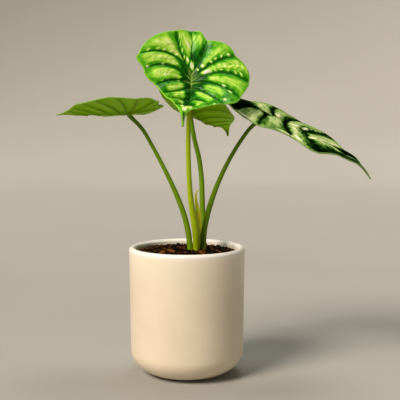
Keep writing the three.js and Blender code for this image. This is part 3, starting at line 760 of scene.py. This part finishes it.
def blade_heights(leaf, u, at):
    """Heights in millimetres of the upper and the lower face."""
    crown = np.sin(math.pi * at.s)
    puff = PUFF_MOST * leaf["puff"] * (1 - np.exp(-PUFF_SHARE * at.gap / PUFF_MOST)) * crown**PUFF_CREST
    puff = puff * (1 - (1 - PUFF_AT_MARGIN) * at.out**5)
    ribs_along = leaf["strands"] * at.strand * crown
    arcs_across = at.arcs * (at.arc + 0.8 * at.uneven) * crown**1.5
    fine = (ribs_along + arcs_across) * at.inner + at.pucker
    rolling = np.sin(math.pi * u + leaf["phase"] + np.where(at.left, 2, 0))
    wave = leaf["wave"] * leaf["width"] * at.out**3 * rolling * smooth(u) * smooth(PANELS - u)
    fading = 1 - (1 - MIDRIB_AT_TIP) * smooth((u - 2) / 6)
    midrib = ridge(at.off_spine, MIDRIB_HALF_WIDTH) * at.on_spine * fading
    groove = np.maximum(at.rib * (1 - 0.5 * at.out), midrib)
    top = puff + fine + wave - GROOVE_DEPTH * groove
    side_ribs = RIB_HEIGHT * at.rib * (1 - (1 - RIB_AT_MARGIN) * at.out)
    raised = np.maximum(MIDRIB_HEIGHT * midrib, side_ribs)
    bottom = UNDERSIDE_PUFF * puff + 0.8 * fine + wave - BLADE_THICKNESS - raised
    return top, bottom


def blade_shares(leaf, u, j, at):
    """Shares from 0 to 1 that colour a blade: its tone, its ribs, its edge, and the hub of the ribs."""
    # The dark valleys are partly the veins' own dark green and partly painted shade in the creases; the
    # light crest is partly the panel's own pale green and partly painted light on the side of each puff
    # that faces the lamp.
    depth = of_half(leaf["valleys"], np.where(at.s < 0.5, at.k, at.k + 1), at.left)
    valley = mix(*leaf["valley_width"], smooth(at.run / 30)) * (1 + 0.3 * at.uneven)
    spine_valley = mix(2.5, 1.6, smooth((u - 5) / 2))
    dark = np.maximum(depth * ridge(at.to_rib, valley), ridge(at.off_spine, spine_valley) * at.on_spine)
    far_out = np.clip((at.out - 0.3) / 0.55, -0.2, 1.2)
    crest_at = mix(at.crests, at.crests_out, far_out) + 0.05 * at.uneven
    streak = wander(14 * at.s, at.run / 9, 9 * at.chance)
    crest = at.crest_tones + 0.08 * at.strand + 0.12 * streak + 0.3 * at.arc * at.arcs
    tone = ridge(at.s - crest_at, at.crest_widths) * crest + 0.06 * streak
    tone = mix(at.dull_tones + 0.08 * at.uneven, tone, at.inner) * (1 - 0.95 * dark)
    tone = tone * smooth((at.out - at.hub_ends + 0.06 + 0.02 * streak) / HUB_FADE)
    # The puckers are also painted pale: a painted highlight where their wax would glint.
    tone = np.maximum(tone, 1.6 * at.pucker)
    # Painted highlights: pale spots painted where the wax would glint, with no relief of their own.
    for vein, out, wide, long in leaf["painted_highlights"]:
        highlight = np.exp(-(((u - vein) / wide) ** 4) - ((j - out) / long) ** 4)
        tone = np.maximum(tone, 1.25 * highlight + 0.05 * streak)
    side_ribs = at.rib * (1 - 0.3 * smooth(u - 4))
    return {
        "tone": np.clip(tone / TONE_SPAN, 0, 1),
        "rib": np.maximum(side_ribs, ridge(at.off_spine, RIB_HALF_WIDTH) * at.on_spine),
        "edge": 1 - smooth(at.to_margin / RIM_WIDTH),
        "hub": (1 - smooth((at.run - 2) / 9)) * (1 - smooth((u - 4) / 1.5)),
    }


def blade_mesh(leaf, half_columns, panel_rows):
    """Both faces of a blade and its edge, from one grid thickened before it is bent."""
    bm = bmesh.new()
    bmesh.ops.create_grid(bm, x_segments=2 * half_columns, y_segments=PANELS * panel_rows, size=1)
    raised = bmesh.ops.extrude_face_region(bm, geom=bm.faces[:], use_keep_orig=True)["geom"]
    bmesh.ops.translate(
        bm, vec=(0, 0, 1), verts=[v for v in raised if isinstance(v, bmesh.types.BMVert)],
    )
    grid = np.array([v.co[:] for v in bm.verts])
    j = np.sign(grid[:, 0]) * np.abs(grid[:, 0]) ** COLUMN_EASE
    u = np.clip((grid[:, 1] + 1) / 2 * PANELS, 0, PANELS)
    upper = grid[:, 2] > 0.5
    at = among_ribs(leaf, u, j)
    add_quilting(at)
    top, bottom = blade_heights(leaf, u, at)
    shares = blade_shares(leaf, u, j, at)
    spots = placed(leaf, flat_point(leaf, u, j), np.where(upper, top, bottom))
    layers = {key: bm.verts.layers.float.new(key) for key in shares}
    beneath = set()
    for i, vert in enumerate(bm.verts):
        vert.co = spots[i]
        if not upper[i]:
            beneath.add(vert)
        for key, layer in layers.items():
            vert[layer] = float(shares[key][i])
    for face in bm.faces:
        face.material_index = int(all(vert in beneath for vert in face.verts))
    bmesh.ops.recalc_face_normals(bm, faces=bm.faces)
    return bm


# The skin's patches and its grain, which is drawn coarser than the real one so that it shows.
SKIN_MOTTLE = 100 / 17
SKIN_GRAIN = 10 / 7
SKIN_DEPTH = 5


def leaf_skin(name, stops, rim, vein, hub, shine, wax, light_through):
    """Leaf skin: a colour for each tone of the quilting with its painted light and shade, the ribs, and a
    thin pale rim.
    """
    material, tree, shader = blank_material(name)
    place = node(tree, "ShaderNodeTexCoord").outputs["Object"]
    share = {
        key: node(tree, "ShaderNodeAttribute", attribute_name=key).outputs["Fac"]
        for key in ("tone", "rib", "edge", "hub")
    }
    mottle = node(
        tree, "ShaderNodeTexNoise", {"Vector": place, "Scale": scale_of(SKIN_MOTTLE), "Detail": 5.0},
    )
    shift = node(
        tree, "ShaderNodeMath", {0: mottle.outputs["Fac"], 1: 0.5, 2: -0.25}, operation="MULTIPLY_ADD",
    )
    height = node(
        tree, "ShaderNodeMath", {0: share["tone"], 1: shift.outputs["Value"]}, operation="ADD",
    )
    colour = node(tree, "ShaderNodeValToRGB", {"Fac": height.outputs["Value"]}, stops).outputs["Color"]
    toward_hub = {"Factor": share["hub"], 6: linear(vein), 7: linear(hub)}
    vein_colour = node(tree, "ShaderNodeMix", toward_hub, data_type="RGBA").outputs[2]
    for key, over in (("rib", vein_colour), ("edge", linear(rim))):
        layer = {"Factor": share[key], 6: colour, 7: over}
        colour = node(tree, "ShaderNodeMix", layer, data_type="RGBA").outputs[2]
    tree.links.new(colour, shader.inputs["Base Color"])
    shader.inputs["Roughness"].default_value = 0.42
    shader.inputs["Specular IOR Level"].default_value = shine
    shader.inputs["Coat Weight"].default_value = wax
    shader.inputs["Coat Roughness"].default_value = 0.1
    shader.inputs["Subsurface Weight"].default_value = light_through
    shader.inputs["Subsurface Radius"].default_value = (0.7, 1.0, 0.15)
    shader.inputs["Subsurface Scale"].default_value = light_through * SKIN_DEPTH * MM
    grain = node(
        tree, "ShaderNodeTexNoise", {"Vector": place, "Scale": scale_of(SKIN_GRAIN), "Detail": 3.0},
    )
    relief = node(
        tree, "ShaderNodeBump", {"Height": grain.outputs["Fac"], "Strength": 0.2, "Distance": 0.4 * MM},
    )
    tree.links.new(relief.outputs["Normal"], shader.inputs["Normal"])
    return material


# Young leaf: a waxy cuticle over bright green tissue. The wax gives small hard glints, and the thin
# blade glows yellow-green where light comes through it. The ramp's near-white top is painted highlight
# on the puckers and pale spots, and its lighter and darker stops also carry the painted light and
# shade of the crests and valleys.
bright_upper = leaf_skin(
    "young_leaf_waxy_skin",
    [
        (0.0, "#064802"), (0.16, "#207e06"), (0.36, "#5cb41c"), (0.58, "#a8de48"), (0.82, "#d8f47c"),
        (1.0, "#fbfff0"),
    ],
    rim="#8ed03c", vein="#1c6408", hub="#8fb848", shine=0.06, wax=0.12, light_through=0.3,
)
# Grown leaf: a dull bloom over black-green tissue, with silver-green puffs, and no glints of its own.
# The ramp's cream-white top is painted highlight on the puckers and pale spots.
dark_upper = leaf_skin(
    "grown_leaf_dull_skin",
    [
        (0.0, "#000a00"), (0.16, "#0a2605"), (0.32, "#3c6a22"), (0.5, "#8fb260"), (0.76, "#c6d890"),
        (1.0, "#fbfbdc"),
    ],
    rim="#86ac5c", vein="#020c03", hub="#0c2a0c", shine=0.0, wax=0.0, light_through=0.3,
)
# Underside of the blades: dull olive tissue without the wax, with darker ribs that stand out. Light
# from above comes through it.
olive_under = leaf_skin(
    "leaf_underside_dull_skin",
    [(0.0, "#78a006"), (0.4, "#84ac0a"), (0.8, "#94b814")],
    rim="#a0bc1c", vein="#607c02", hub="#607c02", shine=0.03, wax=0.0, light_through=0.7,
)
UPPER_SKINS = {"front": bright_upper, "left": dark_upper, "right": dark_upper, "back": dark_upper}
half_columns, panel_rows = ((64, 26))
for name, leaf in LEAVES.items():
    bm = blade_mesh(leaf, half_columns, panel_rows)
    blade = into_object(bm, "leaf_blade_" + name, UPPER_SKINS[name], olive_under)
    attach(blade, "root")
    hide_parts("blade_" + name)

# The four stems: fleshy, smooth and round, about as thick as a pencil in the mix and two thirds of that
# under the blade, where each is a little swollen and turns to meet the underside.
BURIED = 112
JOINT_Y = -0.02
SEAT_GAP = 0.35
STEMS = {
    "front": dict(
        path=[(10, -2.9, BURIED), (9.9, -3.6, 129.6), (9.5, -7, 145.7), (6.6, -11, 165.9),
              (4, -15.2, 182.7), (2.4, -20, 203.5), (1.4, -26, 234), (1.8, -31.5, 261.9),
              (2.8, -34, 284), (3.3, -37, 296)],
        radii=[3.8, 3.8, 3.9, 3.3, 2.75, 2.5, 2.4, 2.35, 2.3, 2.3, 2.5],
    ),
    "left": dict(
        path=[(3.4, -0.8, BURIED), (3.3, -0.8, 129.1), (1.7, 1, 144.6), (-1.5, 2.7, 160.1),
              (-6.6, 4.5, 175.6), (-15.3, 6.8, 196.2), (-25.4, 9.1, 216.9), (-36.5, 11.5, 237.6),
              (-46.4, 13.2, 254.2)],
        radii=[3, 3, 3, 2.9, 2.7, 2.45, 2.2, 2.05, 2, 2, 2.3],
    ),
    "right": dict(
        path=[(17, 0.8, BURIED), (17, 0.9, 128.9), (17.4, 2.6, 144.7), (20, 2.6, 160.4),
              (25.7, 1.2, 181.2), (33.5, 0.4, 201.9), (43.5, 0, 222.6), (55.6, 0, 242.6),
              (66, 0, 256.2), (74, 0, 261.6)],
        radii=[3.1, 3.1, 3.1, 3, 2.8, 2.5, 2.3, 2.1, 2, 2, 2.3],
    ),
    "back": dict(
        path=[(16.8, 8.4, BURIED), (16.8, 8.8, 128.7), (16.8, 11, 145.3), (16.5, 14.5, 160.7),
              (16.1, 19, 181.4), (15.4, 24, 202.2), (12.8, 29, 223.2), (8, 33.5, 243.2),
              (5.4, 36.5, 258)],
        radii=[3, 3, 3, 2.95, 2.85, 2.7, 2.6, 2.5, 2.4, 2.3, 2.4],
    ),
}


def curve_through(points, count):
    """Evenly spaced places on a centripetal curve through the points, in millimetres."""
    pts = [np.array(p, float) for p in points]
    pts = [2 * pts[0] - pts[1]] + pts + [2 * pts[-1] - pts[-2]]
    fine = []
    for p0, p1, p2, p3 in zip(pts, pts[1:], pts[2:], pts[3:]):
        d0, d1, d2 = (np.linalg.norm(b - a) ** 0.5 for a, b in ((p0, p1), (p1, p2), (p2, p3)))
        t1 = ((p1 - p0) / d0 - (p2 - p0) / (d0 + d1) + (p2 - p1) / d1) * d1
        t2 = ((p2 - p1) / d1 - (p3 - p1) / (d1 + d2) + (p3 - p2) / d2) * d1
        for t in np.linspace(0, 1, 40, endpoint=False):
            a, b = 2 * t**3 - 3 * t * t + 1, t**3 - 2 * t * t + t
            fine.append(a * p1 + b * t1 + (1 - a) * p2 + (t**3 - t * t) * t2)
    fine.append(pts[-2])
    fine = np.array(fine)
    run = np.concatenate([[0], np.cumsum(np.linalg.norm(np.diff(fine, axis=0), axis=1))])
    at = np.linspace(0, run[-1], count)
    return np.stack([np.interp(at, run, fine[:, i]) for i in range(3)], 1)


def rod(centres, radii, sides, normal=None, slant=6):
    """A closed round rod: one ring extruded from place to place, with its share up the rod kept.
    The last millimetres can lean into the plane of the blade that the normal stands on."""
    bm = bmesh.new()
    share = bm.verts.layers.float.new("share")
    tangents = np.gradient(centres, axis=0)
    left_over = np.linalg.norm(centres - centres[-1], axis=1)
    across = Vector((1, 0, 0))
    ring = bmesh.ops.create_circle(bm, cap_ends=True, segments=sides, radius=1)["verts"]
    for i, centre in enumerate(centres):
        if i:
            edges = [e for e in bm.edges if e.verts[0] in ring_set and e.verts[1] in ring_set]
            made = bmesh.ops.extrude_edge_only(bm, edges=edges)["geom"]
            fresh = [v for v in made if isinstance(v, bmesh.types.BMVert)]
            by_place = {tuple(round(c, 9) for c in v.co): v for v in fresh}
            ring = [by_place[tuple(round(c, 9) for c in v.co)] for v in ring]
        ring_set = set(ring)
        tangent = Vector(tangents[i]).normalized()
        across = (across - tangent * across.dot(tangent)).normalized()
        upward = tangent.cross(across)
        for n, vert in enumerate(ring):
            turn = 2 * math.pi * n / sides
            spoke = (across * math.cos(turn) + upward * math.sin(turn)) * float(radii[i])
            if normal is not None:
                lean = float(smooth(1 - left_over[i] / slant))
                spoke -= tangent * (lean * spoke.dot(normal) / tangent.dot(normal))
            vert.co = (Vector(centre) + spoke) * MM
            vert[share] = i / (len(centres) - 1)
    bmesh.ops.contextual_create(bm, geom=[e for e in bm.edges if e.is_boundary])
    bmesh.ops.recalc_face_normals(bm, faces=bm.faces)
    return bm


def radii_along(listed, count):
    """Radii given at even steps, read at every ring."""
    return np.interp(np.linspace(0, len(listed) - 1, count), range(len(listed)), listed)


# The streaks are drawn broader than the real ones, so that they show.
STREAK_ACROSS = 10 / 7
STREAK_ALONG = 50 / 3
STEM_DEPTH = 7


def stem_skin(name, low, middle, high, streak, light_through=0.3):
    """Fleshy stem skin, coloured from the mix up: faint lengthwise streaks and a waxy sheen."""
    material, tree, shader = blank_material(name)
    place = node(tree, "ShaderNodeTexCoord").outputs["Object"]
    share = node(tree, "ShaderNodeAttribute", attribute_name="share").outputs["Fac"]
    across, along = scale_of(STREAK_ACROSS), scale_of(STREAK_ALONG)
    stretched = node(tree, "ShaderNodeMapping", {"Vector": place, "Scale": (across, across, along)})
    lines = node(tree, "ShaderNodeTexNoise", {"Vector": stretched.outputs["Vector"], "Scale": 1.0})
    amount = node(
        tree, "ShaderNodeMapRange", {"Value": lines.outputs["Fac"], 1: 0.45, 2: 0.75, 4: 0.5},
    )
    tint = node(tree, "ShaderNodeValToRGB", {"Fac": share}, [(0.08, low), (0.4, middle), (0.95, high)])
    layer = {"Factor": amount.outputs["Result"], 6: tint.outputs["Color"], 7: linear(streak)}
    colour = node(tree, "ShaderNodeMix", layer, data_type="RGBA")
    tree.links.new(colour.outputs[2], shader.inputs["Base Color"])
    shader.inputs["Roughness"].default_value = 0.45
    shader.inputs["Specular IOR Level"].default_value = 0.15
    shader.inputs["Subsurface Weight"].default_value = light_through
    shader.inputs["Subsurface Radius"].default_value = (0.6, 1.0, 0.2)
    shader.inputs["Subsurface Scale"].default_value = light_through * STEM_DEPTH * MM
    relief = node(
        tree, "ShaderNodeBump", {"Height": lines.outputs["Fac"], "Strength": 0.3, "Distance": 0.3 * MM},
    )
    tree.links.new(relief.outputs["Normal"], shader.inputs["Normal"])
    return material


# Grown stems: smooth skin over firm green flesh, a little darker toward the blade.
green_stem = stem_skin("green_stem_waxy_skin", "#729408", "#6c9006", "#608404", "#527002")
# The youngest open leaf's stem: the same skin, still yellow-green.
yellow_stem = stem_skin("yellow_stem_waxy_skin", "#9ab210", "#b0c614", "#92aa0a", "#889e06")
STEM_SIDES = 28
STEM_RINGS = 120
for name, stem in STEMS.items():
    leaf = LEAVES[name]
    seat = -BLADE_THICKNESS - MIDRIB_HEIGHT - SEAT_GAP
    joint = np.array([[0.0, JOINT_Y]])
    end = placed(leaf, joint, np.array([seat]))[0] / MM
    normal = Vector(placed(leaf, joint, np.array([seat + 1]))[0] / MM - end).normalized()
    centres = curve_through(stem["path"] + [end], STEM_RINGS)
    radii = radii_along(stem["radii"], STEM_RINGS)
    skin = yellow_stem if name == "front" else green_stem
    piece = into_object(rod(centres, radii, STEM_SIDES, normal), "leaf_stem_" + name, skin)
    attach(piece, "root")
    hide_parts("petiole_" + name)

# The new leaf: still rolled tight, bright yellow-green and soft, standing in the lap of the front
# stem, with its point bent over.
NEW_LEAF_PATH = [
    (11.2, 5, BURIED), (11.3, 4.6, 128.3), (11.4, 2.8, 143.5), (12.5, -3.3, 154.4),
    (12.2, -5.7, 165.2), (10.7, -7.6, 173.7), (9.3, -8.8, 182.1), (9.1, -9.3, 187.3),
    (10.1, -9.6, 190.9), (12.4, -9.7, 192.6),
]
NEW_LEAF_RADII = [2.1, 2.2, 2.4, 2.6, 2.85, 2.85, 2.6, 2.2, 1.8, 1.2, 0.5]
NEW_LEAF_SIDES = 24
centres = curve_through(NEW_LEAF_PATH, STEM_RINGS)
radii = radii_along(NEW_LEAF_RADII, STEM_RINGS)
# The rolled leaf's back: thin bright tissue that lets much of the light through.
new_skin = stem_skin("rolled_leaf_soft_skin", "#d0d614", "#fafa28", "#f2f63c", "#e4ea20", 0.9)
new_leaf = into_object(rod(centres, radii, NEW_LEAF_SIDES), "new_leaf_rolled", new_skin)
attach(new_leaf, "root")
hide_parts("new_leaf")
